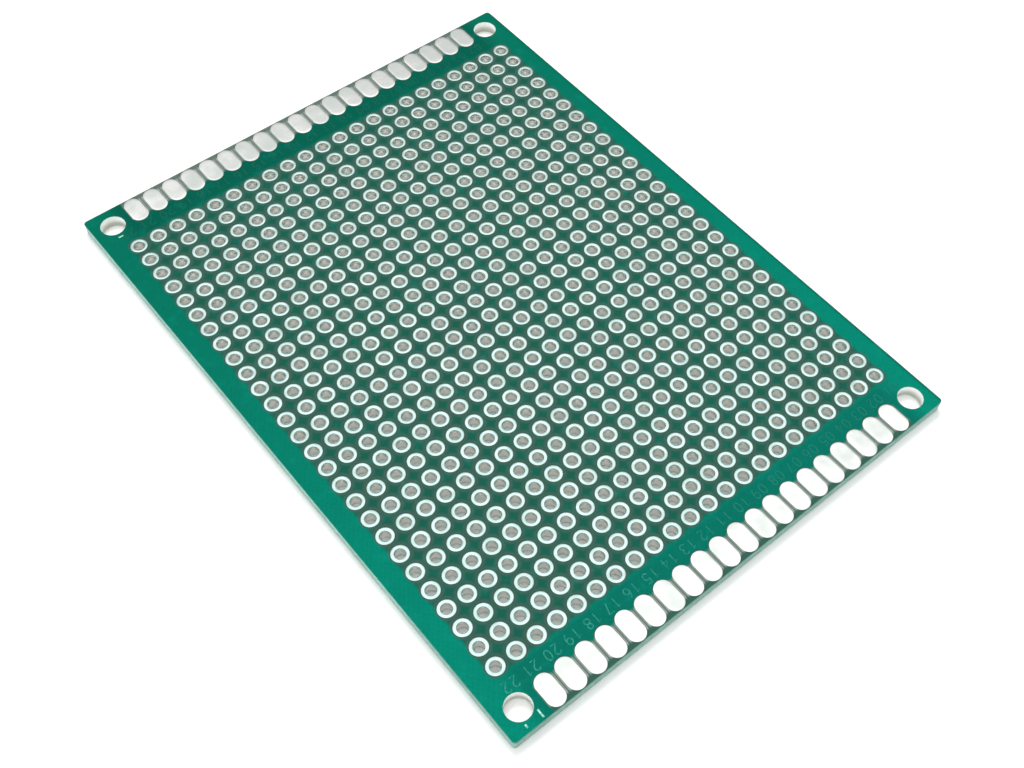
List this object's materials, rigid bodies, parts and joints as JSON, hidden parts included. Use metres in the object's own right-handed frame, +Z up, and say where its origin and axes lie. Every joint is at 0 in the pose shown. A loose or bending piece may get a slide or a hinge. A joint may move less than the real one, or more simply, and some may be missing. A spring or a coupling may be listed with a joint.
{
  "type": "prototype board",
  "caption": "Double-sided prototype board: a flat plate with a square grid of plated holes, oblong contacts along both short ends and a mounting hole in each corner.",
  "frame": {"origin": "middle of the underside, on the plane of the lower contacts' flat tin", "axes": "+X across the board's width, +Y along its length from the front contacts to the back ones, +Z up out of the upper face"},
  "size_m": [0.06, 0.08, 0.0016],
  "materials": {
    "glass_epoxy": "matte woven glass cloth in resin, cut edges",
    "solder_mask": "glossy green lacquer film",
    "tinned_contacts": "bright levelled tin over copper",
    "tinned_pads": "bright levelled tin over copper"
  },
  "bodies": {
    "root": {"resin_plate": "glass_epoxy", "solder_mask_top": "solder_mask", "solder_mask_bottom": "solder_mask", "contacts_front_top": "tinned_contacts", "contacts_front_bottom": "tinned_contacts", "contacts_back_top": "tinned_contacts", "contacts_back_bottom": "tinned_contacts", "plated_row_01": "tinned_pads", "plated_row_02": "tinned_pads", "plated_row_03": "tinned_pads", "plated_row_04": "tinned_pads", "plated_row_05": "tinned_pads", "plated_row_06": "tinned_pads", "plated_row_07": "tinned_pads", "plated_row_08": "tinned_pads", "plated_row_09": "tinned_pads", "plated_row_10": "tinned_pads", "plated_row_11": "tinned_pads", "plated_row_12": "tinned_pads", "plated_row_13": "tinned_pads", "plated_row_14": "tinned_pads", "plated_row_15": "tinned_pads", "plated_row_16": "tinned_pads", "plated_row_17": "tinned_pads", "plated_row_18": "tinned_pads", "plated_row_19": "tinned_pads", "plated_row_20": "tinned_pads", "plated_row_21": "tinned_pads", "plated_row_22": "tinned_pads", "plated_row_23": "tinned_pads", "plated_row_24": "tinned_pads", "plated_row_25": "tinned_pads", "plated_row_26": "tinned_pads", "plated_row_27": "tinned_pads"}
  },
  "joints": []
}
